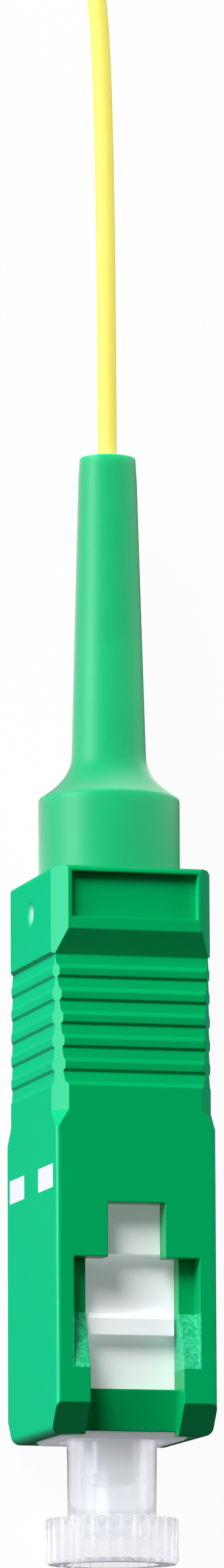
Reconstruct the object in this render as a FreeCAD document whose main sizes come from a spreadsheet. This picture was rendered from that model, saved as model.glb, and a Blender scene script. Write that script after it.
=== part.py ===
import FreeCAD, Part
import math
import os
import re
import Sketcher

# SC/APC simplex fibre connector on 0.9 mm buffered fibre, in millimetres.
# The connector lies on one narrow face of its grip. Y runs along the fibre, with the
# mating end towards -Y. Z is up, X is across the narrow face. The origin lies on the table,
# under the middle of the outer housing.

SIZES = [
    # outer housing, the push-pull grip
    ("housing_length", 25.4),
    ("housing_width", 7.4),
    ("housing_height", 9.0),
    ("housing_edge_radius", 0.22),
    ("nose_edge_radius", 0.35),
    ("corner_cut_side", 0.6),
    ("corner_cut_face", 0.87),
    ("corner_cut_start", 1.7),
    ("corner_cut_runout", 0.98),
    ("nose_cut_length", 1.35),
    ("nose_cut_depth", 1.0),
    ("block_length", 2.88),
    ("block_slope_length", 1.09),
    ("block_slope_depth", 0.55),
    ("panel_width", 5.85),
    ("panel_length", 2.05),
    ("panel_inset", 0.28),
    ("panel_depth", 0.4),
    ("ridge_count", 5),
    ("ridge_pitch", 1.0625),
    ("ridge_depth", 0.12),
    ("ridge_fade", 0.78),
    ("ridge_mid_share", 0.42),
    ("ridge_mid_rise", 0.35),
    ("ridge_crest_share", 0.6),
    ("ridge_lip_share", 0.9),
    ("ridge_lip_drop", 0.15),
    ("side_ridge_depth", 0.1),
    ("side_block_step", 0.06),
    ("side_block_slope", 0.1),
    ("frame_clearance", 0.1),
    ("cavity_rear", 8.6),
    ("land_side_clearance", 0.15),
    ("land_clearance", 0.1),
    ("boot_play", 0.19),
    ("stem_width", 2.66),
    ("stem_start", 2.42),
    ("window_start", 4.87),
    ("window_width", 5.8),
    ("ledge_depth", 0.88),
    ("ramp_start", 7.29),
    ("ramp_end", 9.78),
    ("bar_length", 2.05),
    ("bar_setback", 0.2),
    ("bar_depth", 1.15),
    ("bar_nose_depth", 1.45),
    ("key_width", 2.0),
    ("key_height", 0.85),
    ("key_length", 8.0),
    ("key_setback", 0.9),
    ("key_root", 0.3),
    ("gate_diameter", 1.15),
    ("gate_depth", 0.13),
    ("gate_setback", 1.67),
    ("overlap", 0.1),
    # plug frame
    ("frame_front", 12.8),
    ("frame_rear", 8.3),
    ("frame_width", 6.0),
    ("frame_height", 5.5),
    ("frame_edge_cut", 0.4),
    ("frame_lead_in", 0.25),
    ("land_width", 4.0),
    ("land_height", 6.8),
    ("land_start", 4.65),
    ("latch_front", 8.25),
    ("latch_length", 1.0),
    ("latch_lead", 0.25),
    ("front_bore", 4.75),
    ("front_bore_depth", 5.8),
    ("shoulder_thickness", 0.6),
    ("shoulder_bore", 2.9),
    ("rear_frame_bore", 4.9),
    ("flange_key_width", 0.9),
    ("flange_key_length", 2.4),
    ("key_reach_gap", 0.25),
    ("snap_window_start", 5.0),
    ("snap_window_length", 2.6),
    ("snap_window_width", 2.4),
    # ferrule, flange and glass
    ("ferrule_diameter", 2.5),
    ("ferrule_length", 10.5),
    ("ferrule_protrusion", 2.0),
    ("ferrule_edge_cut", 0.35),
    ("end_angle", 8),
    ("glass_diameter", 0.125),
    ("flange_diameter", 4.6),
    ("flange_edge_cut", 0.2),
    ("flange_head_length", 2.2),
    ("flange_spigot_diameter", 2.8),
    ("flange_spigot_end", 0.9),
    ("tube_seat_depth", 2.0),
    ("flange_key_clearance", 0.1),
    ("ferrule_travel", 1.5),
    ("fibre_end_gap", 0.2),
    # spring, back post, guide tube
    ("spring_mean_diameter", 3.6),
    ("spring_wire", 0.4),
    ("spring_end", 0.24),
    ("spring_turns", 5),
    ("post_front", 3.4),
    ("post_edge_cut", 0.3),
    ("post_lead", 0.6),
    ("collar_diameter", 6.0),
    ("collar_thickness", 2.2),
    ("spigot_diameter", 3.8),
    ("spigot_length", 4.5),
    ("barb_count", 2),
    ("barb_height", 0.25),
    ("post_bore", 2.0),
    ("snap_height", 0.45),
    ("snap_clearance", 0.1),
    ("snap_root", 0.3),
    ("snap_flat", 0.8),
    ("tube_outer", 1.8),
    ("tube_inner", 1.1),
    ("tube_rear", 20.0),
    # boot
    ("boot_front_gap", 0.2),
    ("boot_base_diameter", 6.42),
    ("boot_base_end", 16.35),
    ("boot_shoulder_diameter", 5.4),
    ("boot_shoulder_end", 16.75),
    ("boot_neck_diameter", 3.38),
    ("boot_flare_middle", 17.25),
    ("boot_flare_diameter", 4.0),
    ("boot_neck_start", 18.4),
    ("boot_tip_diameter", 2.56),
    ("boot_tip", 32.2),
    ("boot_tip_round", 0.2),
    ("boot_cavity_diameter", 2.3),
    ("boot_cavity_end", 24.0),
    ("boot_cavity_taper", 0.6),
    ("boot_spigot_gap", 0.3),
    ("boot_clearance", 0.02),
    # dust cap
    ("cap_stem_end", 8.9),
    ("cap_stem_diameter", 4.14),
    ("cap_neck_diameter", 3.96),
    ("cap_flange_diameter", 5.96),
    ("cap_flange_start", 16.2),
    ("cap_flange_length", 2.05),
    ("cap_bore_clearance", 0.05),
    ("cap_bore_end_gap", 2.2),
    ("cap_rib_count", 30),
    ("cap_rib_depth", 0.09),
    # buffered fibre, its hank and the ties
    ("fibre_diameter", 0.9),
    ("fibre_front", 0.5),
    ("hank_length", 27.0),
    ("hank_width", 11.7),
    ("hank_bundle_width", 2.7),
    ("hank_height", 5.4),
    ("hank_edge_cut", 0.7),
    ("hank_start", 61.5),
    ("tie_thickness", 0.3),
    ("tie_length", 3.0),
]

# The free fibre's route from the boot to the hank, chosen by hand: X, Y, Z on the table.
FIBRE_ROUTE = [
    (0.0, 27.0, 4.5),
    (0.0, 36.0, 4.5),
    (-0.04, 45.5, 4.45),
    (-0.25, 54.0, 4.38),
    (-1.3, 59.6, 4.35),
    (-3.8, 63.5, 4.35),
]
NARROW = 1e-4  # an edge that is this short in a direction runs square to it
ARC_SHARE = 0.45  # share of the shorter run that an arc may use on each side of its point

doc = FreeCAD.newDocument("sc_connector")
sheet = doc.addObject("Spreadsheet::Sheet", "Sizes")
for row, (alias, number) in enumerate(SIZES, start=1):
    sheet.set(f"A{row}", alias)
    sheet.set(f"B{row}", str(number))
    sheet.setAlias(f"B{row}", alias)
doc.recompute()
PREFIXED = {alias: "Sizes." + alias for alias, _ in SIZES}
NODES = []


def size(alias):
    return float(sheet.get(alias))


def formula(text):
    """An expression on the sheet, from a formula that names its aliases plainly."""
    return re.sub(r"[a-z_]+", lambda word: PREFIXED.get(word[0], word[0]), text)


def value(text):
    return float(sheet.evalExpression(formula(text)))


def bind(obj, property_name, text):
    obj.setExpression(property_name, formula(text))


AXIS_HEIGHT = "housing_height / 2"


def new_body(name, on_axis=True):
    """A body whose own origin is on the connector's axis, half the housing above the table."""
    body = doc.addObject("PartDesign::Body", name)
    body.Label = name
    if on_axis:
        bind(body, "Placement.Base.z", AXIS_HEIGHT)
    NODES.append(body)
    return body


def origin_plane(body, role):
    return next(f for f in body.Origin.OriginFeatures if f.Role == role + "_Plane")


def outline(body, name, plane, points, tilt=None):
    """A closed sketch through points, pairs of formulas in the plane's own two directions."""
    sketch = body.newObject("Sketcher::SketchObject", name)
    sketch.AttachmentSupport = (origin_plane(body, plane), [""])
    sketch.MapMode = "FlatFace"
    if tilt:
        turn = FreeCAD.Rotation(FreeCAD.Vector(1, 0, 0), value(tilt))
        sketch.AttachmentOffset = FreeCAD.Placement(FreeCAD.Vector(), turn)
        bind(sketch, ".AttachmentOffset.Rotation.Angle", tilt)
    corners = [FreeCAD.Vector(value(u), value(v), 0) for u, v in points]
    for start, end in zip(corners, corners[1:] + corners[:1]):
        sketch.addGeometry(Part.LineSegment(start, end))
    for i, (u, v) in enumerate(points):
        after = (i + 1) % len(points)
        sketch.addConstraint(Sketcher.Constraint("Coincident", i, 2, after, 1))
        for kind, text in (("DistanceX", u), ("DistanceY", v)):
            index = sketch.addConstraint(Sketcher.Constraint(kind, -1, 1, i, 1, value(text)))
            bind(sketch, f"Constraints[{index}]", text)
    return sketch


def pad(body, sketch, length):
    feature = body.newObject("PartDesign::Pad", sketch.Name + "_pad")
    feature.Profile = sketch
    feature.Midplane = True
    bind(feature, "Length", length)
    return feature


def pocket(body, sketch, length):
    feature = body.newObject("PartDesign::Pocket", sketch.Name + "_cut")
    feature.Profile = sketch
    feature.Midplane = True
    bind(feature, "Length", length)
    return feature


def turned(body, name, points, kind="Revolution"):
    """A round form about the connector's axis from points along it and out from it."""
    sketch = outline(body, name + "_profile", "YZ", points)
    feature = body.newObject("PartDesign::" + kind, name)
    feature.Profile = sketch
    feature.ReferenceAxis = (sketch, ["H_Axis"])
    feature.Angle = 360
    return feature


def mirrored(body, feature, plane):
    """The same feature again on the other side of one of the body's planes."""
    copy = body.newObject("PartDesign::Mirrored", f"{feature.Name}_{plane}")
    copy.Originals = [feature]
    copy.MirrorPlane = (origin_plane(body, plane), [""])
    body.Tip = copy
    return copy


def box(left, right, low, high):
    """The four corners of a rectangle."""
    return [(left, low), (right, low), (right, high), (left, high)]


def both_ways(half_outline):
    """An outline and its reflection in the first direction's axis, as one closed outline."""
    reflected = [(u, f"-1 * ( {v} )") for u, v in reversed(half_outline)]
    return half_outline + reflected


# ---------------------------------------------------------------- outer housing

BLOCK_FACE = "( housing_length / 2 - block_length )"
VALLEY = f"( {BLOCK_FACE} - block_slope_length )"
CAVITY_WIDTH = "( frame_width + 2 * frame_clearance )"
CAVITY_HEIGHT = "( frame_height + 2 * frame_clearance )"
CHANNEL_WIDTH = "( land_width + 2 * land_side_clearance )"
CHANNEL_HEIGHT = "( land_height + 2 * land_clearance )"
FRONT = "( housing_length / 2 )"
GATE_RADIUS = "( ( gate_diameter ^ 2 / 4 + gate_depth ^ 2 ) / 2 / gate_depth )"


def ridge_relief(full, foot, valley_depth, ridge_depth):
    """What is cut away beside a face that lies at full, from the rear block to the smooth front.

    Going forward, each ridge rises gently, then faster to its crest, and drops into the next
    groove. The crests come nearer to the face from ridge to ridge, and the last one reaches it."""
    points = [(foot, f"{full} + 1"), (foot, full)]
    count = int(size("ridge_count"))
    for i in range(count + 1):
        groove = f"{VALLEY} - {i} * ridge_pitch"
        bottom = f"( {full} - {valley_depth} * ridge_fade ^ {i} - {ridge_depth} )"
        crest = f"( {full} - {valley_depth} * ridge_fade ^ {i + 1} )" if i < count else full
        middle = f"{bottom} + ridge_mid_rise * ( {crest} - {bottom} )"
        points.append((groove, bottom))
        points.append((f"{groove} - ridge_mid_share * ridge_pitch", middle))
        points.append((f"{groove} - ridge_crest_share * ridge_pitch", crest))
        if i < count:
            lip = f"{crest} - ridge_lip_drop * {ridge_depth}"
            points.append((f"{groove} - ridge_lip_share * ridge_pitch", lip))
    return points + [(points[-1][0], f"{full} + 1")]


def rounded(body, name, chosen, radius):
    """Rounds the edges of the body's last feature that chosen accepts."""
    doc.recompute()
    base = body.Tip
    names = [f"Edge{i}" for i, e in enumerate(base.Shape.Edges, start=1) if chosen(e.BoundBox)]
    fillet = body.newObject("PartDesign::Fillet", name)
    fillet.Base = (base, names)
    bind(fillet, "Radius", radius)


def long_or_rear(box_round):
    """Whether an edge of the block runs along Y or lies at its rear end."""
    return box_round.YMin > 0 or max(box_round.XLength, box_round.ZLength) < NARROW


def plain_block(body):
    """The grip's block with its long edges, its upright nose edges and its rear edges rounded."""
    ends = box(f"-1 * {FRONT}", FRONT, "-1 * housing_height / 2", "housing_height / 2")
    pad(body, outline(body, "block", "YZ", ends), "housing_width")
    rounded(body, "nose_rounding", lambda e: e.YMax < 0 and e.XLength < NARROW, "nose_edge_radius")
    rounded(body, "block_rounding", long_or_rear, "housing_edge_radius")


def narrow_faces(body):
    """Cuts the nose slopes, the ridges and the slope up to the rear block."""
    top = "housing_height / 2"
    nose = [
        (f"-1 * {FRONT}", f"{top} - nose_cut_depth"),
        (f"nose_cut_length - {FRONT}", top),
        (f"nose_cut_length - {FRONT}", f"{top} + 1"),
        (f"-1 * {FRONT} - 1", f"{top} + 1"),
        (f"-1 * {FRONT} - 1", f"{top} - nose_cut_depth"),
    ]
    cut = pocket(body, outline(body, "nose_slope", "YZ", nose), "housing_width + 1")
    mirrored(body, cut, "XY")
    relief = ridge_relief(top, BLOCK_FACE, "block_slope_depth", "ridge_depth")
    cut = pocket(body, outline(body, "ridges", "YZ", relief), "housing_width + 1")
    mirrored(body, cut, "XY")


def side_ridges(body):
    """Carries the grip's ridges round the wide faces, shallower."""
    foot = f"{VALLEY} + side_block_slope"
    relief = ridge_relief("housing_width / 2", foot, "side_block_step", "side_ridge_depth")
    sketch = outline(body, "side_ridges", "XY", [(x, y) for y, x in relief])
    cut = pocket(body, sketch, "housing_height + 1")
    mirrored(body, cut, "YZ")


def corner_cuts(body):
    """The flats along the grip's four long edges, each with its three-cornered run-out."""
    slant = "sqrt(corner_cut_side ^ 2 + corner_cut_face ^ 2)"
    edge = f"( corner_cut_face * housing_width / 2 + corner_cut_side * housing_height / 2 ) / {slant}"
    depth = f"corner_cut_side * corner_cut_face / {slant}"
    flat = f"( {edge} - {depth} )"
    points = [
        ("corner_cut_start", flat),
        ("housing_length", flat),
        ("housing_length", f"{edge} + {depth}"),
        ("corner_cut_start - 2 * corner_cut_runout", f"{edge} + {depth}"),
    ]
    lean = "atan(corner_cut_face / corner_cut_side)"
    tilts = (lean, f"-1 * {lean}", f"180 deg - {lean}", f"180 deg + {lean}")
    for number, tilt in enumerate(tilts, start=1):
        sketch = outline(body, f"corner_cut_{number}", "YZ", points, tilt=tilt)
        pocket(body, sketch, "housing_height")


def windows(body):
    """The T window through both narrow faces, its ledges and ramps, and the nose bar."""
    bar_rear = f"( bar_length - {FRONT} )"
    bar_front = f"( bar_setback - {FRONT} )"
    through = "housing_height + 1"
    stem = box("-1 * stem_width / 2", "stem_width / 2", "-1 * window_start - overlap", "-1 * stem_start")
    pocket(body, outline(body, "window_stem", "XY", stem), through)
    channel = box(f"-1 * {CHANNEL_WIDTH} / 2", f"{CHANNEL_WIDTH} / 2", bar_rear, "-1 * window_start")
    pocket(body, outline(body, "window_channel", "XY", channel), through)
    top = "housing_height / 2"
    ledge = [
        ("-1 * window_start", f"{top} + 1"),
        ("-1 * window_start", f"{top} - ledge_depth"),
        ("-1 * ramp_start", f"{top} - ledge_depth"),
        ("-1 * ramp_end", top),
        ("-1 * ramp_end", f"{top} + 1"),
    ]
    cut = pocket(body, outline(body, "window_ledge", "YZ", ledge), "window_width")
    mirrored(body, cut, "XY")
    over_bar = [
        (bar_rear, f"{top} + 1"),
        (bar_rear, f"{top} - bar_depth"),
        (bar_front, f"{top} - bar_nose_depth"),
        (bar_front, f"{CAVITY_HEIGHT} / 2"),
        (f"-1 * {FRONT} - 1", f"{CAVITY_HEIGHT} / 2"),
        (f"-1 * {FRONT} - 1", f"{top} + 1"),
    ]
    cut = pocket(body, outline(body, "over_bar", "YZ", over_bar), CHANNEL_WIDTH)
    mirrored(body, cut, "XY")


def cavity(body):
    """The room for the plug frame, with a channel for its lands and a round rear mouth."""
    main = box(f"-1 * {FRONT} - 1", "cavity_rear", f"-1 * {CAVITY_HEIGHT} / 2", f"{CAVITY_HEIGHT} / 2")
    pocket(body, outline(body, "cavity", "YZ", main), CAVITY_WIDTH)
    run = box("-1 * window_start", "cavity_rear", f"-1 * {CHANNEL_HEIGHT} / 2", f"{CHANNEL_HEIGHT} / 2")
    pocket(body, outline(body, "land_channel", "YZ", run), CHANNEL_WIDTH)
    mouth = box("cavity_rear - overlap", f"{FRONT} + 1", "0", "boot_base_diameter / 2 + boot_play")
    turned(body, "rear_mouth", mouth, "Groove")


def rear_details(body):
    """The sunk panels on the narrow faces and the moulding gate's dimple."""
    rear = f"( {FRONT} - panel_inset )"
    top = "housing_height / 2"
    panel = box(f"{rear} - panel_length", rear, f"{top} - panel_depth", f"{top} + 1")
    cut = pocket(body, outline(body, "panel", "YZ", panel), "panel_width")
    mirrored(body, cut, "XY")
    dimple = body.newObject("PartDesign::SubtractiveSphere", "gate_dimple")
    dimple.AttachmentSupport = (origin_plane(body, "XY"), [""])
    dimple.MapMode = "FlatFace"
    bind(dimple, "Radius", GATE_RADIUS)
    bind(dimple, ".AttachmentOffset.Base.x", f"gate_depth - housing_width / 2 - {GATE_RADIUS}")
    bind(dimple, ".AttachmentOffset.Base.y", f"{FRONT} - gate_setback")


def key_rib(body):
    """The polarity key along the wide face that faces +X."""
    front = f"( key_setback - {FRONT} )"
    lead = "key_height / 2"
    side = "housing_width / 2"
    points = [
        (f"{side} - key_root", front),
        (side, front),
        (f"{side} + key_height", f"{front} + {lead}"),
        (f"{side} + key_height", f"{front} + key_length"),
        (f"{side} - key_root", f"{front} + key_length"),
    ]
    pad(body, outline(body, "key_rib", "XY", points), "key_width")


def outer_housing():
    body = new_body("outer_housing")
    plain_block(body)
    corner_cuts(body)
    narrow_faces(body)
    side_ridges(body)
    cavity(body)
    windows(body)
    rear_details(body)
    key_rib(body)


# ---------------------------------------------------------------- plug frame

SHOULDER_FACE = "( frame_front - front_bore_depth )"
SEAT = f"( {SHOULDER_FACE} - shoulder_thickness )"
FRAME_KEY_REACH = "flange_diameter / 2 - ( rear_frame_bore - flange_diameter ) - key_reach_gap"


def plug_frame():
    body = new_body("plug_frame")
    half_height = "frame_height / 2"
    half_width = "frame_width / 2"
    section = [
        (f"-1 * {half_width} + frame_edge_cut", f"-1 * {half_height}"),
        (f"{half_width} - frame_edge_cut", f"-1 * {half_height}"),
        (half_width, f"frame_edge_cut - {half_height}"),
        (half_width, f"{half_height} - frame_edge_cut"),
        (f"{half_width} - frame_edge_cut", half_height),
        (f"-1 * {half_width} + frame_edge_cut", half_height),
        (f"-1 * {half_width}", f"{half_height} - frame_edge_cut"),
        (f"-1 * {half_width}", f"frame_edge_cut - {half_height}"),
    ]
    sketch = outline(body, "frame_section", "XZ", section)
    bind(sketch, ".AttachmentOffset.Base.z", "frame_front")
    core = body.newObject("PartDesign::Pad", "frame_core")
    core.Profile = sketch
    core.Reversed = True
    bind(core, "Length", "frame_front + frame_rear")
    doc.recompute()
    nose = -size("frame_front")
    ends = [f"Edge{i}" for i, e in enumerate(core.Shape.Edges, start=1) if e.BoundBox.YMax < nose + NARROW]
    lead_in = body.newObject("PartDesign::Chamfer", "frame_lead_in")
    lead_in.Base = (core, ends)
    bind(lead_in, "Size", "frame_lead_in")
    land = box("-1 * land_start", "frame_rear", "-1 * land_height / 2", "land_height / 2")
    pad(body, outline(body, "frame_land", "YZ", land), "land_width")
    latch = both_ways([
        ("-1 * latch_front", "land_height / 2"),
        ("latch_length - latch_lead - latch_front", "land_height / 2"),
        ("latch_length - latch_front", "land_height / 2 - latch_lead"),
    ])
    pad(body, outline(body, "latch_rib", "YZ", latch), "land_width")
    bore = [
        ("-1 * frame_front - 1", "0"),
        ("-1 * frame_front - 1", "front_bore / 2"),
        (f"-1 * {SHOULDER_FACE}", "front_bore / 2"),
        (f"-1 * {SHOULDER_FACE}", "shoulder_bore / 2"),
        (f"-1 * {SEAT}", "shoulder_bore / 2"),
        (f"-1 * {SEAT}", "rear_frame_bore / 2"),
        ("frame_rear + 1", "rear_frame_bore / 2"),
        ("frame_rear + 1", "0"),
    ]
    turned(body, "frame_bore", bore, "Groove")
    snap = box("snap_window_start", "snap_window_start + snap_window_length",
               "-1 * snap_window_width / 2", "snap_window_width / 2")
    pocket(body, outline(body, "snap_windows", "YZ", snap), "frame_width + 1")
    key = box(f"-1 * {SEAT} - shoulder_thickness / 2", f"flange_key_length - {SEAT}",
              FRAME_KEY_REACH, "frame_height / 2 - overlap")
    rib = pad(body, outline(body, "flange_key", "YZ", key), "flange_key_width")
    mirrored(body, rib, "XY")


# ---------------------------------------------------------------- ferrule group

TIP = "( frame_front + ferrule_protrusion )"
FERRULE_REAR = f"( {TIP} - ferrule_length )"


def angled_end(body, name):
    """Cuts the tip to the angle of a polished end: it falls back towards +Z from the axis."""
    reach = "ferrule_diameter"
    fall = f"{reach} * tan(end_angle)"
    points = [
        (f"-1 * {TIP} - {fall}", f"-1 * {reach}"),
        (f"-1 * {TIP} + {fall}", reach),
        (f"-1 * {TIP} - 2", reach),
        (f"-1 * {TIP} - 2", f"-1 * {reach}"),
    ]
    pocket(body, outline(body, name, "YZ", points), "ferrule_diameter * 2")


def ferrule():
    body = new_body("ferrule")
    front = f"( {TIP} + ferrule_diameter / 2 * tan(end_angle) )"
    points = [
        (f"-1 * {front}", "glass_diameter / 2"),
        (f"-1 * {front}", "ferrule_diameter / 2 - ferrule_edge_cut"),
        (f"2 * ferrule_edge_cut - {front}", "ferrule_diameter / 2"),
        (f"-1 * {FERRULE_REAR}", "ferrule_diameter / 2"),
        (f"-1 * {FERRULE_REAR}", "glass_diameter * 3"),
        (f"-1 * {FERRULE_REAR} - glass_diameter * 3", "glass_diameter / 2"),
    ]
    turned(body, "ferrule_form", points)
    angled_end(body, "ferrule_end")


def ferrule_flange():
    body = new_body("ferrule_flange")
    head_rear = f"( flange_head_length - {SEAT} )"
    tube_stop = "( -1 * flange_spigot_end - tube_seat_depth )"
    points = [
        (f"-1 * {SEAT}", "ferrule_diameter / 2"),
        (f"-1 * {SEAT}", "flange_diameter / 2 - flange_edge_cut"),
        (f"flange_edge_cut - {SEAT}", "flange_diameter / 2"),
        (head_rear, "flange_diameter / 2"),
        (head_rear, "flange_spigot_diameter / 2"),
        ("-1 * flange_spigot_end", "flange_spigot_diameter / 2"),
        ("-1 * flange_spigot_end", "tube_outer / 2"),
        (tube_stop, "tube_outer / 2"),
        (tube_stop, "fibre_diameter / 2"),
        (f"-1 * {FERRULE_REAR}", "fibre_diameter / 2"),
        (f"-1 * {FERRULE_REAR}", "ferrule_diameter / 2"),
    ]
    turned(body, "flange_form", points)
    floor = f"{FRAME_KEY_REACH} - flange_key_clearance"
    slot = box(f"-1 * {SEAT} - 1", f"{head_rear} + 1", floor, "flange_diameter")
    cut = pocket(body, outline(body, "key_slot", "YZ", slot), "flange_key_width + 2 * flange_key_clearance")
    mirrored(body, cut, "XY")


def glass_fibre():
    body = new_body("glass_fibre")
    front = f"( {TIP} + ferrule_diameter / 2 )"
    rear = "( fibre_front - ferrule_travel - fibre_end_gap )"
    turned(body, "glass_form", box(f"-1 * {front}", rear, "0", "glass_diameter / 2"))
    angled_end(body, "glass_end")


def guide_tube():
    body = new_body("guide_tube")
    front = "( -1 * flange_spigot_end - tube_seat_depth )"
    turned(body, "tube_form", box(front, "tube_rear", "tube_inner / 2", "tube_outer / 2"))


def spring():
    """The coil that pushes the flange against the frame's shoulder."""
    start = f"( flange_head_length - {SEAT} )"
    helix = doc.addObject("Part::Helix", "spring_helix")
    bind(helix, "Radius", "spring_mean_diameter / 2")
    length = f"( post_front - {start} - 2 * spring_end )"
    bind(helix, "Height", length)
    bind(helix, "Pitch", f"{length} / spring_turns")
    wire = doc.addObject("Part::RegularPolygon", "spring_wire_section")
    wire.Polygon = 6
    bind(wire, "Circumradius", "spring_wire / 2")
    bind(wire, "Placement.Base.x", "spring_mean_diameter / 2")
    wire.Placement.Rotation = FreeCAD.Rotation(FreeCAD.Vector(1, 0, 0), 90)
    coil = doc.addObject("Part::Sweep", "spring")
    coil.Sections = [wire]
    coil.Spine = (helix, ["Edge1"])
    coil.Solid = True
    coil.Frenet = True
    coil.Label = "spring"
    coil.Placement.Rotation = FreeCAD.Rotation(FreeCAD.Vector(1, 0, 0), -90)
    bind(coil, "Placement.Base.y", f"{start} + spring_end")
    bind(coil, "Placement.Base.z", AXIS_HEIGHT)
    NODES.append(coil)


# ---------------------------------------------------------------- back post and boot

COLLAR_REAR = "( frame_rear + collar_thickness )"
SPIGOT_REAR = f"( {COLLAR_REAR} + spigot_length )"


def back_post():
    body = new_body("back_post")
    barb = "( spigot_length / barb_count )"
    points = [
        ("post_front", "post_bore / 2"),
        ("post_front", "rear_frame_bore / 2 - post_edge_cut"),
        ("post_front + post_lead", "rear_frame_bore / 2"),
        ("frame_rear", "rear_frame_bore / 2"),
        ("frame_rear", "collar_diameter / 2"),
        (COLLAR_REAR, "collar_diameter / 2"),
        (COLLAR_REAR, "spigot_diameter / 2"),
    ]
    for i in range(int(size("barb_count"))):
        points.append((f"{COLLAR_REAR} + {i + 0.5} * {barb}", "spigot_diameter / 2"))
        points.append((f"{COLLAR_REAR} + {i + 0.5} * {barb}", "spigot_diameter / 2 + barb_height"))
        points.append((f"{COLLAR_REAR} + {i + 1} * {barb}", "spigot_diameter / 2"))
    points.append((SPIGOT_REAR, "post_bore / 2"))
    turned(body, "post_form", points)
    front = "( snap_window_start + snap_clearance )"
    rear = "( snap_window_start + snap_window_length - snap_clearance )"
    outer = "rear_frame_bore / 2 + snap_height"
    tabs = [
        ("rear_frame_bore / 2 - snap_root", front),
        ("rear_frame_bore / 2", front),
        (outer, f"{rear} - snap_flat"),
        (outer, rear),
        ("rear_frame_bore / 2 - snap_root", rear),
    ]
    tab = pad(body, outline(body, "snap_tab", "XY", tabs), "snap_window_width - 2 * snap_clearance")
    mirrored(body, tab, "YZ")


def boot():
    body = new_body("boot")
    front = f"( {COLLAR_REAR} + boot_front_gap )"
    spigot_bore = "( spigot_diameter / 2 + barb_height + boot_clearance )"
    fibre_bore = "( fibre_diameter / 2 + boot_clearance )"
    points = [
        (front, spigot_bore),
        (front, "boot_base_diameter / 2"),
        ("boot_base_end", "boot_base_diameter / 2"),
        ("boot_shoulder_end", "boot_shoulder_diameter / 2"),
        ("boot_flare_middle", "boot_flare_diameter / 2"),
        ("boot_neck_start", "boot_neck_diameter / 2"),
        ("boot_tip - boot_tip_round", "boot_tip_diameter / 2"),
        ("boot_tip", "boot_tip_diameter / 2 - boot_tip_round"),
        ("boot_tip", fibre_bore),
        ("boot_cavity_end", fibre_bore),
        ("boot_cavity_end - boot_cavity_taper", "boot_cavity_diameter / 2"),
        (f"{SPIGOT_REAR} + boot_spigot_gap", "boot_cavity_diameter / 2"),
        (f"{SPIGOT_REAR} + boot_spigot_gap", spigot_bore),
    ]
    turned(body, "boot_form", points)


# ---------------------------------------------------------------- dust cap


def dust_cap():
    body = new_body("dust_cap")
    bore = "( ferrule_diameter / 2 + cap_bore_clearance )"
    flange_end = "( cap_flange_start + cap_flange_length )"
    points = [
        ("-1 * cap_stem_end", bore),
        (f"-1 * {TIP} - cap_bore_end_gap", bore),
        (f"-1 * {TIP} - cap_bore_end_gap", "0"),
        (f"-1 * {flange_end}", "0"),
        (f"-1 * {flange_end}", "cap_flange_diameter / 2"),
        ("-1 * cap_flange_start", "cap_flange_diameter / 2"),
        ("-1 * cap_flange_start", "cap_neck_diameter / 2"),
        ("-1 * cap_stem_end", "cap_stem_diameter / 2"),
    ]
    turned(body, "cap_form", points)
    deep = "cap_flange_diameter / 2 - cap_rib_depth"
    groove = [
        (f"-1 * {flange_end} - 1", deep),
        ("-1 * cap_flange_start + 1", deep),
        ("-1 * cap_flange_start + 1", "cap_flange_diameter / 2 + 1"),
        (f"-1 * {flange_end} - 1", "cap_flange_diameter / 2 + 1"),
    ]
    sketch = outline(body, "rib_groove", "YZ", groove)
    cut = pocket(body, sketch, "cap_flange_diameter / cap_rib_count")
    ring = body.newObject("PartDesign::PolarPattern", "rib_grooves")
    ring.Originals = [cut]
    ring.Axis = (next(f for f in body.Origin.OriginFeatures if f.Role == "Y_Axis"), [""])
    ring.Angle = 360
    bind(ring, "Occurrences", "cap_rib_count")
    body.Tip = ring


# ---------------------------------------------------------------- fibre and hank


def fibre_in_boot():
    """The stretch of buffered fibre that the connector holds, up to the boot's narrow bore."""
    held = doc.addObject("Part::Cylinder", "fibre_in_boot")
    held.Label = "fibre_in_boot"
    bind(held, "Radius", "fibre_diameter / 2")
    bind(held, "Height", f"{FIBRE_ROUTE[0][1]} - fibre_front")
    held.Placement.Rotation = FreeCAD.Rotation(FreeCAD.Vector(1, 0, 0), -90)
    bind(held, "Placement.Base.y", "fibre_front")
    bind(held, "Placement.Base.z", AXIS_HEIGHT)
    NODES.append(held)


def rounded_route(points):
    """Straight runs joined by tangent arcs, each as large as its two runs allow."""
    places = [FreeCAD.Vector(*p) for p in points]
    edges = []
    radii = []
    start = places[0]
    for before, here, after in zip(places, places[1:], places[2:]):
        back = (before - here).normalize()
        ahead = (after - here).normalize()
        turn = math.pi - back.getAngle(ahead)
        reach = ARC_SHARE * min((here - before).Length, (after - here).Length)
        radius = reach / math.tan(turn / 2)
        inwards = (back + ahead).normalize()
        centre = here + inwards * (radius / math.cos(turn / 2))
        arc = Part.Arc(here + back * reach, centre - inwards * radius, here + ahead * reach)
        edges.append(Part.LineSegment(start, arc.StartPoint).toShape())
        edges.append(arc.toShape())
        radii.append(radius)
        start = arc.EndPoint
    edges.append(Part.LineSegment(start, places[-1]).toShape())
    return Part.Wire(edges), radii


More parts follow.
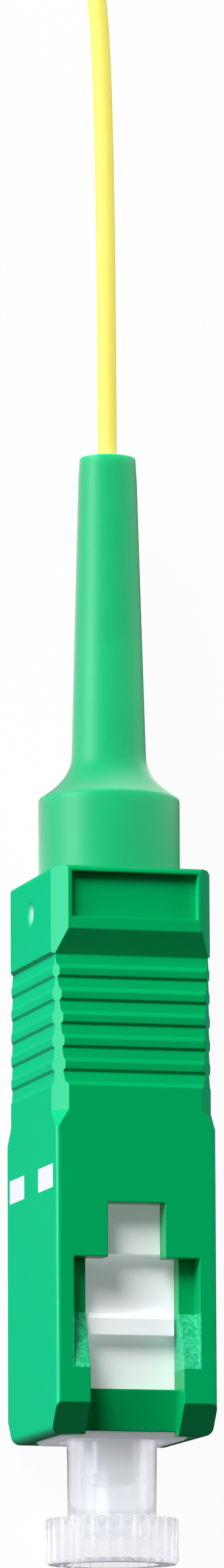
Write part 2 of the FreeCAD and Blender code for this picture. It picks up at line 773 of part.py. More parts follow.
def hank():
    """The rest of the fibre, wound into a flat oval that stands on its two ties."""
    body = new_body("fibre_hank", on_axis=False)
    half_width = "hank_width / 2"
    near = f"( hank_start + {half_width} )"
    far = f"( hank_start + hank_length - {half_width} )"
    ring = body.newObject("Sketcher::SketchObject", "hank_ring")
    ring.AttachmentSupport = (origin_plane(body, "XY"), [""])
    ring.MapMode = "FlatFace"
    for text in (half_width, f"{half_width} - hank_bundle_width"):
        oval(ring, text, near, far)
    wound = body.newObject("PartDesign::Pad", "hank_form")
    wound.Profile = ring
    bind(wound, "Length", "hank_height")
    bind(body, "Placement.Base.z", "tie_thickness")
    doc.recompute()
    level = [f"Edge{i}" for i, e in enumerate(wound.Shape.Edges, start=1) if e.BoundBox.ZLength < NARROW]
    cut = body.newObject("PartDesign::Chamfer", "hank_edges")
    cut.Base = (wound, level)
    bind(cut, "Size", "hank_edge_cut")
    return body


def oval(sketch, radius, near, far):
    """Adds a closed oval about the Y axis: two half circles joined by straight sides."""
    r, low, high = value(radius), value(near), value(far)
    up = FreeCAD.Vector(0, 0, 1)
    bottom = Part.ArcOfCircle(Part.Circle(FreeCAD.Vector(0, low, 0), up, r), math.pi, 2 * math.pi)
    top = Part.ArcOfCircle(Part.Circle(FreeCAD.Vector(0, high, 0), up, r), 0, math.pi)
    right = Part.LineSegment(FreeCAD.Vector(r, low, 0), FreeCAD.Vector(r, high, 0))
    left = Part.LineSegment(FreeCAD.Vector(-r, high, 0), FreeCAD.Vector(-r, low, 0))
    first = sketch.GeometryCount
    for piece in (bottom, right, top, left):
        sketch.addGeometry(piece)
    for i in range(4):
        joint = ("Tangent", first + i, 2, first + (i + 1) % 4, 1)
        sketch.addConstraint(Sketcher.Constraint(*joint))
    for index, place in ((first, near), (first + 2, far)):
        sketch.addConstraint(Sketcher.Constraint("PointOnObject", index, 3, -2))
        which = sketch.addConstraint(Sketcher.Constraint("DistanceY", -1, 1, index, 3, value(place)))
        bind(sketch, f"Constraints[{which}]", place)
    which = sketch.addConstraint(Sketcher.Constraint("Radius", first, r))
    bind(sketch, f"Constraints[{which}]", radius)


def buffered_fibre(hank_body):
    """The free fibre from the boot to the hank, ended on the hank's own surface."""
    wire, radii = rounded_route(FIBRE_ROUTE)
    radius = size("fibre_diameter") / 2
    section = Part.Wire(Part.makeCircle(radius, wire.Edges[0].Vertexes[0].Point, FreeCAD.Vector(0, 1, 0)))
    tube = wire.makePipeShell([section], True, True)
    drift = tube.Volume / (math.pi * radius ** 2 * wire.Length) - 1
    print("fibre bend radii", [round(r, 1) for r in radii], "volume off by", round(drift, 5))
    free = doc.addObject("Part::Feature", "buffered_fibre")
    free.Label = "buffered_fibre"
    free.Shape = tube.cut(hank_body.Shape)
    NODES.append(free)


def cut_block(corner, width, length, height, cut):
    """A block with its four edges along Y cut off at 45 degrees."""
    block = Part.makeBox(width, length, height, corner)
    ways = [(e, e.BoundBox) for e in block.Edges]
    along = [e for e, box_round in ways if max(box_round.XLength, box_round.ZLength) < NARROW]
    return block.makeChamfer(cut, along)


def hank_ties():
    """Two flat ties, one round each straight side of the hank."""
    bands = []
    skin = size("tie_thickness")
    wide = size("hank_bundle_width")
    tall = size("hank_height")
    cut = size("hank_edge_cut")
    middle = size("hank_start") + size("hank_length") / 2
    length = size("tie_length")
    for side in (-1, 1):
        inner = side * (size("hank_width") - wide) / 2 - wide / 2
        outside = FreeCAD.Vector(inner - skin, middle - length / 2, 0)
        inside = outside + FreeCAD.Vector(skin, 0, skin)
        band = cut_block(outside, wide + 2 * skin, length, tall + 2 * skin, cut + skin / 2)
        bands.append(band.cut(cut_block(inside, wide, length, tall, cut)))
    ties = doc.addObject("Part::Feature", "hank_ties")
    ties.Label = "hank_ties"
    ties.Shape = Part.makeCompound(bands)
    NODES.append(ties)


# ---------------------------------------------------------------- build and export


def failures():
    """Every object that a recompute left failed, and every sub-part without a sound shape."""
    bad = [o.Name for o in doc.Objects if "Invalid" in o.State or "Error" in o.State]
    for node in NODES:
        if node.Shape.isNull() or not node.Shape.isValid() or node.Shape.Volume <= 0:
            bad.append(node.Label)
    return bad


def main():
    outer_housing()
    plug_frame()
    ferrule()
    ferrule_flange()
    glass_fibre()
    guide_tube()
    spring()
    back_post()
    boot()
    dust_cap()
    fibre_in_boot()
    wound = hank()
    doc.recompute()
    buffered_fibre(wound)
    hank_ties()
    doc.recompute()
    bad = failures()
    if bad:
        raise SystemExit("failed: " + ", ".join(bad))
    os.makedirs("parts", exist_ok=True)
    for node in NODES:
        node.Shape.exportStep(f"parts/{node.Label}.step")
        print(node.Label, len(node.Shape.Solids), round(node.Shape.Volume, 3))


main()
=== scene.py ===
import math
import random

import bmesh
import bpy
from mathutils import Matrix, Vector


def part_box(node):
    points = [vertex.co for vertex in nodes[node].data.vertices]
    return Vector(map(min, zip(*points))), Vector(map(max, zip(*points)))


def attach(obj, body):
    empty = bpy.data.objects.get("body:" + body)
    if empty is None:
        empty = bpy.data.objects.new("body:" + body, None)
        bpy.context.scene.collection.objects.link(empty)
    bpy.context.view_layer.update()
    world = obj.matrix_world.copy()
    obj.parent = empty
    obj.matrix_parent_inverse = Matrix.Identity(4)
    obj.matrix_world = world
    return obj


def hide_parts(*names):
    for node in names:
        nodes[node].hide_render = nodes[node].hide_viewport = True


MM = 0.001

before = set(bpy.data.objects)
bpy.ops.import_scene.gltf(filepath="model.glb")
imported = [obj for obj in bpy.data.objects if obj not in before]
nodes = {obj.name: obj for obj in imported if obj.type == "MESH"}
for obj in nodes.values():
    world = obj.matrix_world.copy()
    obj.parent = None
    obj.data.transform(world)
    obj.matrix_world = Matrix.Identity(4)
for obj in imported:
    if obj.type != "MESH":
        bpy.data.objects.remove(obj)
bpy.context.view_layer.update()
housing_low, housing_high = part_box("outer_housing")
AXIS_Z = housing_high[2] / 2  # the height of the connector's axis


# ---------------------------------------------------------------- camera and light

CAMERA_YAW = math.radians(15.0)  # towards the wide face that points to -X
CAMERA_TILT = math.radians(9.1)  # towards the mating end
CAMERA_ROLL = math.radians(-0.257)
CAMERA_DISTANCE = 0.36
CAMERA_LENS = 181.8
CAMERA_SENSOR = 36
CAMERA_NEAR, CAMERA_FAR = 0.01, 10
AIM = Vector((0.15 * MM, 17.15 * MM, AXIS_Z))
WORLD_SEEN, WORLD_LIGHT = 1.0, 0.03  # the world's strength where it is seen, and where it lights
FLOOR_SIZE = 6
FLOOR_DROP = 0.02 * MM  # how far the floor lies below the object
FLOOR_SEEN, FLOOR_BOUNCE = 0.9, 0.1  # the floor's albedo where it is seen, and where it lights
FLOOR_GLOW = 0.95  # share of plain white in the floor where it is seen


def camera_axes():
    """Right, up and backwards of the camera, in the row frame."""
    yaw_sin, yaw_cos = math.sin(CAMERA_YAW), math.cos(CAMERA_YAW)
    tilt_sin, tilt_cos = math.sin(CAMERA_TILT), math.cos(CAMERA_TILT)
    back = Vector((-yaw_sin * tilt_cos, -tilt_sin, yaw_cos * tilt_cos))
    right = Vector((yaw_cos, 0, yaw_sin))
    up = back.cross(right)
    roll_cos, roll_sin = math.cos(CAMERA_ROLL), math.sin(CAMERA_ROLL)
    return right * roll_cos + up * roll_sin, up * roll_cos - right * roll_sin, back


def make_camera():
    right, up, back = camera_axes()
    data = bpy.data.cameras.new("camera")
    data.sensor_fit = "VERTICAL"
    data.sensor_height = CAMERA_SENSOR
    data.lens = CAMERA_LENS
    data.clip_start = CAMERA_NEAR
    data.clip_end = CAMERA_FAR
    camera = bpy.data.objects.new("camera", data)
    camera.matrix_world = Matrix.Translation(AIM + back * CAMERA_DISTANCE) @ Matrix(
        (right, up, back)
    ).transposed().to_4x4()
    bpy.context.scene.collection.objects.link(camera)
    bpy.context.scene.camera = camera


def area_light(name, place, size, watts, mirrored=True, colour=(1, 1, 1)):
    """A round lamp that faces the object; glossy surfaces may be kept from mirroring it."""
    data = bpy.data.lights.new(name, "AREA")
    data.shape = "DISK"
    data.size = size
    data.energy = watts
    data.color = colour
    lamp = bpy.data.objects.new(name, data)
    lamp.location = place
    lamp.visible_glossy = mirrored
    lamp.rotation_euler = (AIM - Vector(place)).to_track_quat("-Z", "Y").to_euler()
    bpy.context.scene.collection.objects.link(lamp)


def make_lights():
    area_light("key", place=(-0.55, 0.69, 0.57), size=0.6, watts=13.0, mirrored=False)
    area_light("left_wall", place=(-0.98, 0.25, 0.08), size=0.8, watts=11.0, colour=(1, 1, 1.15))
    area_light("right_fill", place=(0.95, 0.25, 0.2), size=0.6, watts=5.5, mirrored=False)


def seen_directly(tree):
    """A socket that is 1 for rays from the camera or through clear plastic, and otherwise 0."""
    path = tree.nodes.new("ShaderNodeLightPath")
    seen = tree.nodes.new("ShaderNodeMath")
    seen.operation = "MAXIMUM"
    tree.links.new(path.outputs["Is Camera Ray"], seen.inputs[0])
    tree.links.new(path.outputs["Is Transmission Ray"], seen.inputs[1])
    return seen.outputs[0]


def make_world():
    """White where it is seen directly, and a dim light for everything else."""
    world = bpy.data.worlds.new("studio")
    world.use_nodes = True
    tree = world.node_tree
    background = tree.nodes["Background"]
    background.inputs["Color"].default_value = (1, 1, 1, 1)
    strength = tree.nodes.new("ShaderNodeMapRange")
    strength.inputs["To Min"].default_value = WORLD_LIGHT
    strength.inputs["To Max"].default_value = WORLD_SEEN
    tree.links.new(seen_directly(tree), strength.inputs["Value"])
    tree.links.new(strength.outputs["Result"], background.inputs["Strength"])
    bpy.context.scene.world = world


def make_floor():
    """A white floor that keeps a faint shadow, and that lights the object from below only dimly."""
    bpy.ops.mesh.primitive_plane_add(size=FLOOR_SIZE, location=(0, 0, -FLOOR_DROP))
    floor = bpy.context.object
    floor.name = "floor"
    material = bpy.data.materials.new("floor_white")
    material.use_nodes = True
    tree = material.node_tree
    tree.nodes.clear()
    seen = seen_directly(tree)
    albedo = tree.nodes.new("ShaderNodeMapRange")
    albedo.inputs["To Min"].default_value = FLOOR_BOUNCE
    albedo.inputs["To Max"].default_value = FLOOR_SEEN
    tree.links.new(seen, albedo.inputs["Value"])
    diffuse = tree.nodes.new("ShaderNodeBsdfDiffuse")
    tree.links.new(albedo.outputs["Result"], diffuse.inputs["Color"])
    glow = tree.nodes.new("ShaderNodeEmission")
    glow.inputs["Strength"].default_value = 1.0
    share = tree.nodes.new("ShaderNodeMath")
    share.operation = "MULTIPLY"
    share.inputs[1].default_value = FLOOR_GLOW
    mix = tree.nodes.new("ShaderNodeMixShader")
    out = tree.nodes.new("ShaderNodeOutputMaterial")
    tree.links.new(seen, share.inputs[0])
    tree.links.new(share.outputs[0], mix.inputs["Fac"])
    tree.links.new(diffuse.outputs[0], mix.inputs[1])
    tree.links.new(glow.outputs[0], mix.inputs[2])
    tree.links.new(mix.outputs[0], out.inputs["Surface"])
    floor.data.materials.append(material)


# ---------------------------------------------------------------- materials

DRIFT_SCALE = 160  # of the slow changes in a moulded surface's colour and gloss
DRIFT_MATT, DRIFT_GLOSS = 1.2, 0.85  # shares of the roughness at the two ends of that change
GRAIN_SCALE = 9000
GRAIN = 0.001 * MM  # how deep the fine grain of a moulded surface is
BEVEL_SAMPLES = 6


def new_material(name, colour, roughness, **sockets):
    """A Principled material; sockets are named with underscores for spaces."""
    material = bpy.data.materials.new(name)
    material.use_nodes = True
    shader = material.node_tree.nodes["Principled BSDF"]
    shader.inputs["Base Color"].default_value = (*colour, 1)
    shader.inputs["Roughness"].default_value = roughness
    for socket, number in sockets.items():
        shader.inputs[socket.replace("_", " ")].default_value = number
    return material, material.node_tree, shader


def place_coordinates(tree):
    """Object coordinates, which are the row frame in metres."""
    return tree.nodes.new("ShaderNodeTexCoord").outputs["Object"]


def noise(tree, scale, detail):
    texture = tree.nodes.new("ShaderNodeTexNoise")
    texture.inputs["Scale"].default_value = scale
    texture.inputs["Detail"].default_value = detail
    tree.links.new(place_coordinates(tree), texture.inputs["Vector"])
    return texture.outputs["Fac"]


def spread(tree, value, low, high, start=0.2, end=0.8):
    """Maps start to end of a value to low to high."""
    mapped = tree.nodes.new("ShaderNodeMapRange")
    mapped.interpolation_type = "SMOOTHERSTEP"
    mapped.inputs["From Min"].default_value = start
    mapped.inputs["From Max"].default_value = end
    mapped.inputs["To Min"].default_value = low
    mapped.inputs["To Max"].default_value = high
    tree.links.new(value, mapped.inputs["Value"])
    return mapped.outputs["Result"]


def tint(tree, value, dark, light):
    """A colour between two, by a 0 to 1 value."""
    ramp = tree.nodes.new("ShaderNodeMix")
    ramp.data_type = "RGBA"
    ramp.inputs["A"].default_value = (*dark, 1)
    ramp.inputs["B"].default_value = (*light, 1)
    tree.links.new(value, ramp.inputs["Factor"])
    return ramp.outputs["Result"]


def bump(tree, shader, height, distance, strength=1.0, normal=None):
    node = tree.nodes.new("ShaderNodeBump")
    node.inputs["Strength"].default_value = strength
    node.inputs["Distance"].default_value = distance
    tree.links.new(height, node.inputs["Height"])
    if normal:
        tree.links.new(normal, node.inputs["Normal"])
    tree.links.new(node.outputs["Normal"], shader.inputs["Normal"])


def worn_edges(tree, radius):
    """A normal that rounds sharp edges, as a moulded part's are."""
    node = tree.nodes.new("ShaderNodeBevel")
    node.samples = BEVEL_SAMPLES
    node.inputs["Radius"].default_value = radius
    return node.outputs["Normal"]


def moulded(name, dark, light, roughness, edge, **sockets):
    """Injection-moulded plastic: slow drifts in colour and gloss, a fine grain, rounded edges."""
    material, tree, shader = new_material(name, light, roughness, **sockets)
    drift = noise(tree, DRIFT_SCALE, detail=3)
    tree.links.new(tint(tree, drift, dark, light), shader.inputs["Base Color"])
    gloss = spread(tree, drift, roughness * DRIFT_GLOSS, roughness * DRIFT_MATT)
    tree.links.new(gloss, shader.inputs["Roughness"])
    bump(tree, shader, noise(tree, GRAIN_SCALE, detail=1), GRAIN, normal=worn_edges(tree, edge))
    return material, tree, shader


def band_mask(tree, axis, low, high):
    """1 where the row frame's coordinate lies between low and high."""
    split = tree.nodes.new("ShaderNodeSeparateXYZ")
    tree.links.new(place_coordinates(tree), split.inputs[0])
    masks = []
    for operation, limit in (("GREATER_THAN", low), ("LESS_THAN", high)):
        test = tree.nodes.new("ShaderNodeMath")
        test.operation = operation
        test.inputs[1].default_value = limit
        tree.links.new(split.outputs[axis], test.inputs[0])
        masks.append(test.outputs[0])
    return product(tree, *masks)


def combine(tree, operation, first, second):
    node = tree.nodes.new("ShaderNodeMath")
    node.operation = operation
    tree.links.new(first, node.inputs[0])
    tree.links.new(second, node.inputs[1])
    return node.outputs[0]


def product(tree, first, second):
    return combine(tree, "MULTIPLY", first, second)


def outside_mask(tree, axis, limit):
    """1 where the row frame's coordinate is further from 0 than limit."""
    inner = band_mask(tree, axis, -limit, limit)
    rest = tree.nodes.new("ShaderNodeMath")
    rest.operation = "SUBTRACT"
    rest.inputs[0].default_value = 1
    tree.links.new(inner, rest.inputs[1])
    return rest.outputs[0]


def spot_mask(tree, centre, radius):
    """Falls from 1 at a place to 0 at a distance from it."""
    away = tree.nodes.new("ShaderNodeVectorMath")
    away.operation = "DISTANCE"
    away.inputs[1].default_value = centre
    tree.links.new(place_coordinates(tree), away.inputs[0])
    fall = tree.nodes.new("ShaderNodeMapRange")
    fall.interpolation_type = "SMOOTHSTEP"
    fall.inputs["From Max"].default_value = radius
    fall.inputs["To Min"].default_value = 1
    fall.inputs["To Max"].default_value = 0
    tree.links.new(away.outputs["Value"], fall.inputs["Value"])
    return fall.outputs["Result"]


def facing(tree, axis):
    """How far the surface faces along an axis, either way, from 0 to 1."""
    geometry = tree.nodes.new("ShaderNodeNewGeometry")
    split = tree.nodes.new("ShaderNodeSeparateXYZ")
    tree.links.new(geometry.outputs["Normal"], split.inputs[0])
    size = tree.nodes.new("ShaderNodeMath")
    size.operation = "ABSOLUTE"
    tree.links.new(split.outputs[axis], size.inputs[0])
    return size.outputs[0]


def overlay(tree, shader, mask, colour):
    """Lays a colour over the shader's own where the mask is 1."""
    mix = tree.nodes.new("ShaderNodeMix")
    mix.data_type = "RGBA"
    tree.links.new(shader.inputs["Base Color"].links[0].from_socket, mix.inputs["A"])
    mix.inputs["B"].default_value = (*colour, 1)
    tree.links.new(mask, mix.inputs["Factor"])
    tree.links.new(mix.outputs["Result"], shader.inputs["Base Color"])


# Places on the grip, from the middle of its length and width.
WIDE_FACE = 3.2 * MM  # further out than this are the wide faces and the cuts beside them
CUT_FRONT, CUT_REAR = -0.5 * MM, 15 * MM  # in the ridged half all of the corner cuts counts too
RAMP_INSIDE, RAMP_OUTSIDE = 2.1 * MM, 2.95 * MM
RAMP_FRONT, RAMP_REAR = -9.8 * MM, -7.3 * MM
GATE_SETBACK, GATE_REACH = 1.67 * MM, 0.55 * MM
MARK_FACE = 3.6 * MM
MARK_FRONT, MARK_REAR = -1.75 * MM, -0.69 * MM
MARK_LENGTH, MARK_GAP = 2.65 * MM, 2.5 * MM

# painted light: the lighter green laid on the side faces, in place of the light that falls on them
SIDE_PAINTED_LIGHT_GREEN = (0.0, 0.56, 0.225)
# painted glints: the lighter green of the speckle on the latch ramps
RAMP_PAINTED_GLINT_GREEN = (0.06, 0.66, 0.36)
# painted highlight: the pale colour of the spot on the gate mark
GATE_PAINTED_HIGHLIGHT = (0.75, 0.95, 0.80)
MARK_WHITE = (0.86, 0.9, 0.88)


def mark_mask(tree):
    """The two white marks on each wide face, above and below its middle."""
    near, far = MARK_GAP / 2, MARK_GAP / 2 + MARK_LENGTH
    lower = band_mask(tree, "Z", AXIS_Z - far, AXIS_Z - near)
    upper = band_mask(tree, "Z", AXIS_Z + near, AXIS_Z + far)
    marks = product(tree, combine(tree, "ADD", lower, upper), outside_mask(tree, "X", MARK_FACE))
    return product(tree, marks, band_mask(tree, "Y", MARK_FRONT, MARK_REAR))


def ramp_mask(tree):
    """The textured latch ramps, on both sides of the window."""
    inside = outside_mask(tree, "X", RAMP_INSIDE)
    ramps = product(tree, band_mask(tree, "X", -RAMP_OUTSIDE, RAMP_OUTSIDE), inside)
    return product(tree, ramps, band_mask(tree, "Y", RAMP_FRONT, RAMP_REAR))


def grip_material():
    """Green grip plastic with the white alignment marks, a painted speckle of glints on the textured
    latch ramps and a painted highlight on the gate mark.

    The wide faces and corner cuts are painted a lighter, bluer green by how far they face across,
    which stands in for the light that falls on them, and the flat faces mirror less than the sloping
    ones."""
    material, tree, shader = moulded(
        "grip_green", (0.0, 0.39, 0.105), (0.0, 0.43, 0.125), roughness=0.34, edge=0.10 * MM
    )
    # Painted light: faces that point across, to the sides, get a lighter, bluer green in step with how
    # far they face that way.
    across = facing(tree, "X")
    outer = combine(
        tree, "MAXIMUM", outside_mask(tree, "X", WIDE_FACE), band_mask(tree, "Y", CUT_FRONT, CUT_REAR)
    )
    overlay(tree, shader, product(tree, across, outer), SIDE_PAINTED_LIGHT_GREEN)
    flat = combine(tree, "MAXIMUM", across, facing(tree, "Z"))
    mirroring = spread(tree, flat, low=0.5, high=0.15, start=0.86, end=0.94)
    tree.links.new(mirroring, shader.inputs["Specular IOR Level"])
    # Painted glints: a lighter speckle on the textured latch ramps stands in for the light they catch.
    glint_speckle = spread(tree, noise(tree, scale=6000, detail=2), low=0.15, high=1.0)
    overlay(tree, shader, product(tree, ramp_mask(tree), glint_speckle), RAMP_PAINTED_GLINT_GREEN)
    # Painted highlight: a pale spot on the gate mark of the -X wide face, where its glossy dimple
    # would catch the light.
    gate_highlight = spot_mask(tree, (housing_low[0], housing_high[1] - GATE_SETBACK, AXIS_Z), GATE_REACH)
    overlay(tree, shader, gate_highlight, GATE_PAINTED_HIGHLIGHT)
    overlay(tree, shader, mark_mask(tree), MARK_WHITE)
    return material


def cap_material():
    """Milky plastic that lets the surroundings through, softly."""
    return moulded(
        "cap_clear", (0.88, 0.89, 0.92), (0.94, 0.95, 0.97), roughness=0.2, edge=0.03 * MM,
        Transmission_Weight=0.9, IOR=1.3,
    )[0]


def fibre_material():
    """Yellow buffer with a painted glow, so its dark side stays light."""
    material, tree, shader = new_material(
        "fibre_yellow", (0.7, 0.63, 0.09), roughness=0.4,
        # Painted light: the yellow emission is a glow, no lamp, that lifts the shaded side of the
        # buffer.
        Specular_IOR_Level=0.3, Emission_Strength=0.5, Emission_Color=(1.0, 0.88, 0.16, 1),
    )
    buffer = tint(tree, noise(tree, scale=300, detail=3), (0.49, 0.455, 0.08), (0.55, 0.515, 0.13))
    tree.links.new(buffer, shader.inputs["Base Color"])
    bump(tree, shader, noise(tree, scale=2500, detail=2), 0.003 * MM, strength=0.5)
    return material


def boot_material():
    """Matte green elastomer, with a soft pale sheen, a fine sparked grain and a painted green glow
    that lifts its shaded side.
    """
    material, tree, shader = new_material(
        "boot_green", (0.0, 0.5, 0.18), roughness=0.48,
        Specular_IOR_Level=0.6, Sheen_Weight=1.0, Sheen_Roughness=0.45,
        Subsurface_Weight=1.0, Subsurface_Scale=1.6 * MM, Subsurface_Radius=(1, 1, 1),
        # Painted light: the green emission is a glow, no lamp, that brightens the boot's shaded right
        # side.
        Emission_Strength=0.21, Emission_Color=(0.0, 1.0, 0.34, 1),
    )
    rubber = tint(tree, noise(tree, scale=420, detail=4), (0.0, 0.30, 0.115), (0.0, 0.35, 0.135))
    tree.links.new(rubber, shader.inputs["Base Color"])
    bump(tree, shader, noise(tree, scale=5000, detail=3), 0.006 * MM, strength=0.7)
    return material


def dress(node, material):
    data = nodes[node].data
    data.materials.clear()
    data.materials.append(material)


def dress_nodes():
    # Painted light: the frame's faint bluish emission is a glow, no lamp, that lifts the shade on it
    # inside the windows.
    off_white = moulded(
        "frame_white", (0.90, 0.90, 0.93), (0.95, 0.95, 0.97), roughness=0.38, edge=0.05 * MM,
        Emission_Strength=0.2, Emission_Color=(0.92, 0.94, 1, 1),
    )[0]
    natural = moulded(
        "post_white", (0.70, 0.70, 0.70), (0.78, 0.78, 0.77), roughness=0.42, edge=0.05 * MM
    )[0]
    ceramic = moulded(
        "ceramic_white", (0.86, 0.86, 0.84), (0.91, 0.91, 0.89), roughness=0.12, edge=0.03 * MM
    )[0]
    nickel = moulded(
        "plated_flange", (0.55, 0.54, 0.52), (0.66, 0.65, 0.63), roughness=0.22, edge=0.03 * MM,
        Metallic=1.0,
    )[0]
    steel = moulded(
        "spring_steel", (0.45, 0.45, 0.46), (0.60, 0.60, 0.61), roughness=0.22, edge=0.01 * MM,
        Metallic=1.0,
    )[0]
    glass = moulded(
        "fibre_glass", (0.93, 0.96, 0.96), (0.96, 0.98, 0.98), roughness=0.03, edge=0.005 * MM,
        Transmission_Weight=1.0, IOR=1.46,
    )[0]
    tie = moulded(
        "tie_white", (0.74, 0.74, 0.74), (0.84, 0.84, 0.83), roughness=0.5, edge=0.05 * MM
    )[0]
    dress("outer_housing", grip_material())
    dress("plug_frame", off_white)
    dress("back_post", natural)
    dress("guide_tube", natural)
    dress("ferrule", ceramic)
    dress("ferrule_flange", nickel)
    dress("spring", steel)
    dress("glass_fibre", glass)
    dress("hank_ties", tie)
    dress("fibre_in_boot", YELLOW)


# ---------------------------------------------------------------- boot and dust cap

SHARP = math.radians(35.0)  # an edge of a lathed piece that turns more than this stays sharp
MERGE = 0.0001 * MM  # points of a lathed piece closer than this are one

# The sizes below are in millimetres.
BOOT_STEPS = 144
BOOT_FRONT_LIP = [(0, 3.1), (0.05, 3.17), (0.16, 3.21)]  # (Y from the front end, radius)
BOOT_BASE_LIP = [(16.28, 3.21), (16.36, 3.19), (16.42, 3.15)]  # (Y, radius)
BOOT_TIP_LIP = [  # (Y from the tip, radius)
    (-1.0, 1.335), (-0.5, 1.30), (-0.07, 1.28), (-0.02, 1.27), (0, 1.24),
]
BOOT_MOUTH_RADIUS = 2.17  # the socket in the boot's front, for the back post
BOOT_MOUTH_END = 15.5
BOOT_HOLLOW_RADIUS = 1.15
BOOT_HOLLOW_END = 23.4
BOOT_BORE_RADIUS = 0.47
BOOT_BORE_START = 24.0
BORE_LEAD = 0.1  # how wide and how deep the bore opens at the tip
FLARE_START, FLARE_END = 16.46, 18.45
FLARE_NECK = 1.69  # radius where the flare ends
FLARE_RISE = 1.4  # how much wider it is where it starts
FLARE_STEPS = 10
FLARE_POWER = 2.2

CAP_RIBS = 30
CAP_RIB_DEPTH = 0.09
CAP_RIB_STEPS = 12
CAP_HEAD_LENGTH = 2.05
CAP_HEAD_RADIUS = 2.98
CAP_FRONT_EDGE = 0.12
CAP_REAR_EDGE_LENGTH, CAP_REAR_EDGE_DEPTH = 0.06, 0.08
CAP_DISH_RADIUS = 2.1  # the shallow dish in the front of the head
CAP_DISH_DEPTH = 0.25
CAP_DISH_SLOPE = 0.1
CAP_STEM_RADIUS = 2.07
CAP_STEM_LEAD = 0.07
CAP_NECK_RADIUS = 1.98
CAP_NECK_FOOT_LENGTH, CAP_NECK_FOOT_RISE = 0.12, 0.08
CAP_BORE_RADIUS = 1.3
CAP_BORE_FLOOR = -17.0


def lathe(name, profile, steps, ripple=None):
    """A round piece about the connector's axis, from a profile of (Y, radius) in millimetres.

    The profile is closed, unless it begins and ends on the axis. ripple gives a change of
    radius by angle, for the points that lie at the full radius."""
    mesh = bpy.data.meshes.new(name)
    full = max(radius for _, radius in profile)
    verts = []
    for y, radius in profile:
        for i in range(steps):
            angle = 2 * math.pi * i / steps
            here = radius + (ripple(angle) if ripple and radius == full else 0)
            verts.append((here * MM * math.cos(angle), y * MM, AXIS_Z + here * MM * math.sin(angle)))
    faces = []
    for k in range(len(profile) if profile[0][1] else len(profile) - 1):
        after = (k + 1) % len(profile)
        for i in range(steps):
            j = (i + 1) % steps
            faces.append((k * steps + i, k * steps + j, after * steps + j, after * steps + i))
    mesh.from_pydata(verts, [], faces)
    shape = bmesh.new()
    shape.from_mesh(mesh)
    bmesh.ops.remove_doubles(shape, verts=shape.verts, dist=MERGE)
    bmesh.ops.recalc_face_normals(shape, faces=shape.faces)
    shape.to_mesh(mesh)
    shape.free()
    mesh.shade_smooth()
    mesh.set_sharp_from_angle(angle=SHARP)
    piece = bpy.data.objects.new(name, mesh)
    bpy.context.scene.collection.objects.link(piece)
    return piece


def make_boot():
    """The rubber boot: a flanged base, a hollow flare and a long taper with a rolled lip."""
    low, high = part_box("boot")
    front, tip = low[1] / MM, high[1] / MM
    profile = [(front, BOOT_MOUTH_RADIUS)]
    profile += [(front + y, radius) for y, radius in BOOT_FRONT_LIP]
    profile += BOOT_BASE_LIP
    for i in range(FLARE_STEPS + 1):
        share = 1 - i / FLARE_STEPS
        radius = FLARE_NECK + FLARE_RISE * share ** FLARE_POWER
        profile.append((FLARE_END - (FLARE_END - FLARE_START) * share, radius))
    profile += [(tip + y, radius) for y, radius in BOOT_TIP_LIP]
    profile += [
        (tip, BOOT_BORE_RADIUS + BORE_LEAD),
        (tip - BORE_LEAD, BOOT_BORE_RADIUS),
        (BOOT_BORE_START, BOOT_BORE_RADIUS),
        (BOOT_HOLLOW_END, BOOT_HOLLOW_RADIUS),
        (BOOT_MOUTH_END, BOOT_HOLLOW_RADIUS),
        (BOOT_MOUTH_END, BOOT_MOUTH_RADIUS),
    ]
    boot = lathe("rubber_boot", profile, BOOT_STEPS)
    boot.data.materials.append(boot_material())
    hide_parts("boot")
    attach(boot, "plug")


def cap_rib(angle):
    """The rim's change of radius: none on a rib's narrow crest, and deep and flat in between."""
    return -CAP_RIB_DEPTH * abs(math.sin(angle * CAP_RIBS / 2)) ** 0.5


def make_cap():
    """The translucent dust cap: a hollow stem and a head with fine ribs round it."""
    low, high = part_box("dust_cap")
    tip, stem = low[1] / MM, high[1] / MM
    head = tip + CAP_HEAD_LENGTH
    profile = [
        (CAP_BORE_FLOOR, 0.0),
        (CAP_BORE_FLOOR, CAP_BORE_RADIUS),
        (stem, CAP_BORE_RADIUS),
        (stem, CAP_STEM_RADIUS - CAP_STEM_LEAD),
        (stem - CAP_STEM_LEAD, CAP_STEM_RADIUS),
        (head + CAP_NECK_FOOT_LENGTH, CAP_NECK_RADIUS),
        (head, CAP_NECK_RADIUS + CAP_NECK_FOOT_RISE),
        (head, CAP_HEAD_RADIUS - CAP_REAR_EDGE_DEPTH),
        (head - CAP_REAR_EDGE_LENGTH, CAP_HEAD_RADIUS),
        (tip + CAP_FRONT_EDGE, CAP_HEAD_RADIUS),
        (tip, CAP_HEAD_RADIUS - CAP_FRONT_EDGE),
        (tip, CAP_DISH_RADIUS),
        (tip + CAP_DISH_DEPTH, CAP_DISH_RADIUS - CAP_DISH_SLOPE),
        (tip + CAP_DISH_DEPTH, 0.0),
    ]
    cap = lathe("clear_cap", profile, CAP_RIBS * CAP_RIB_STEPS, cap_rib)
    cap.data.materials.append(cap_material())
    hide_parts("dust_cap")
    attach(cap, "cap")


# ---------------------------------------------------------------- the fibre

FIBRE_DIAMETER = 0.9 * MM
FIBRE_STEPS = 6  # between two control points
FIBRE_ROUNDNESS = 4
FIBRE_ROUTE = [  # the control points from the boot to the hank, in millimetres
    (0.0, 27.0, 4.5),
    (0.0, 36.0, 4.5),
    (-0.04, 45.5, 4.45),
    (-0.25, 54.0, 4.38),
    (-1.3, 59.6, 4.35),
    (-3.8, 63.5, 4.35),
]
HANK_COLUMNS = 3
HANK_ROWS = 6
HANK_SLACK = 0.05  # how far a turn's control points stray, in millimetres
HANK_SEED = 7
LOOP_STEPS = 6  # control points in each half turn


def hank_slots():
    """Column and row of each turn: down the outside, up the middle and down the inside."""
    slots = [(0, row) for row in range(HANK_ROWS - 2, -1, -1)]
    for column in range(1, HANK_COLUMNS):
        rows = range(HANK_ROWS)
        slots += [(column, row) for row in (rows if column % 2 else reversed(rows))]
    return slots


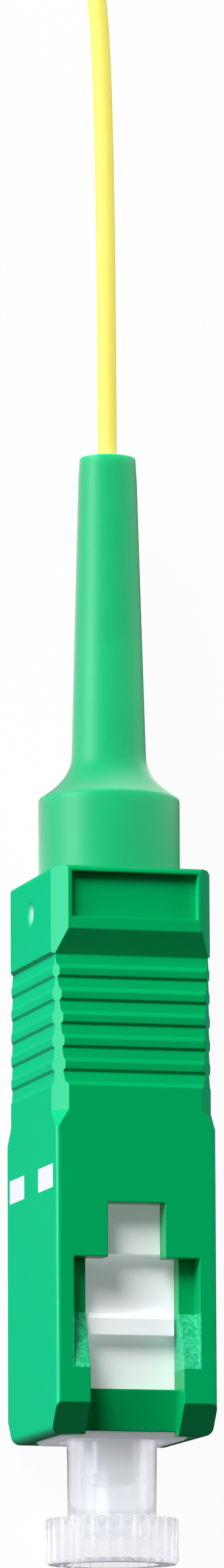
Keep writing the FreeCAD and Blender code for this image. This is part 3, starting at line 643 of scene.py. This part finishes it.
def hank_points():
    """Control points of the turns, which run up the left side and down the right."""
    low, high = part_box("fibre_hank")
    step = FIBRE_DIAMETER
    outer = high[0] - step / 2
    near = low[1] + high[0]
    far = high[1] - high[0]
    slots = hank_slots()
    rng = random.Random(HANK_SEED)
    points = []
    outside = math.cos(math.pi / LOOP_STEPS / 2)  # control points lie outside the round that they give
    for turn, (column, row) in enumerate(slots):
        after = slots[min(turn + 1, len(slots) - 1)]
        for half, centre in enumerate((far, near)):
            for i in range(LOOP_STEPS):
                share = (half + (i + 0.5) / LOOP_STEPS) / 2
                blend = max(0.0, share * 4 - 3)  # the last quarter crosses to the next turn's slot
                slack = rng.uniform(-HANK_SLACK, HANK_SLACK) * MM
                inset = (column + (after[0] - column) * blend) * step
                radius = (outer - inset + slack) / outside
                height = low[2] + (row + (after[1] - row) * blend + 0.5) * step
                angle = math.pi - (half + (i + 0.5) / LOOP_STEPS) * math.pi
                points.append((radius * math.cos(angle), centre + radius * math.sin(angle), height))
    return points


def nurbs_curve(name, points, thickness):
    curve = bpy.data.curves.new(name, "CURVE")
    curve.dimensions = "3D"
    spline = curve.splines.new("NURBS")
    spline.points.add(len(points) - 1)
    for point, place in zip(spline.points, points):
        point.co = (*place, 1)
    spline.order_u = 3
    spline.use_endpoint_u = True
    curve.resolution_u = FIBRE_STEPS
    curve.bevel_depth = thickness / 2
    curve.bevel_resolution = FIBRE_ROUNDNESS
    curve.use_fill_caps = True
    thing = bpy.data.objects.new(name, curve)
    bpy.context.scene.collection.objects.link(thing)
    return thing


def make_fibre():
    route = [tuple(number * MM for number in point) for point in FIBRE_ROUTE]
    fibre = nurbs_curve("yellow_fibre", route + hank_points(), FIBRE_DIAMETER)
    fibre.data.materials.append(YELLOW)
    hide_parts("buffered_fibre", "fibre_hank")
    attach(fibre, "plug")


bpy.context.scene.view_settings.view_transform = "Standard"
YELLOW = fibre_material()
make_camera()
make_fibre()
make_lights()
make_world()
make_floor()
dress_nodes()
make_boot()
make_cap()
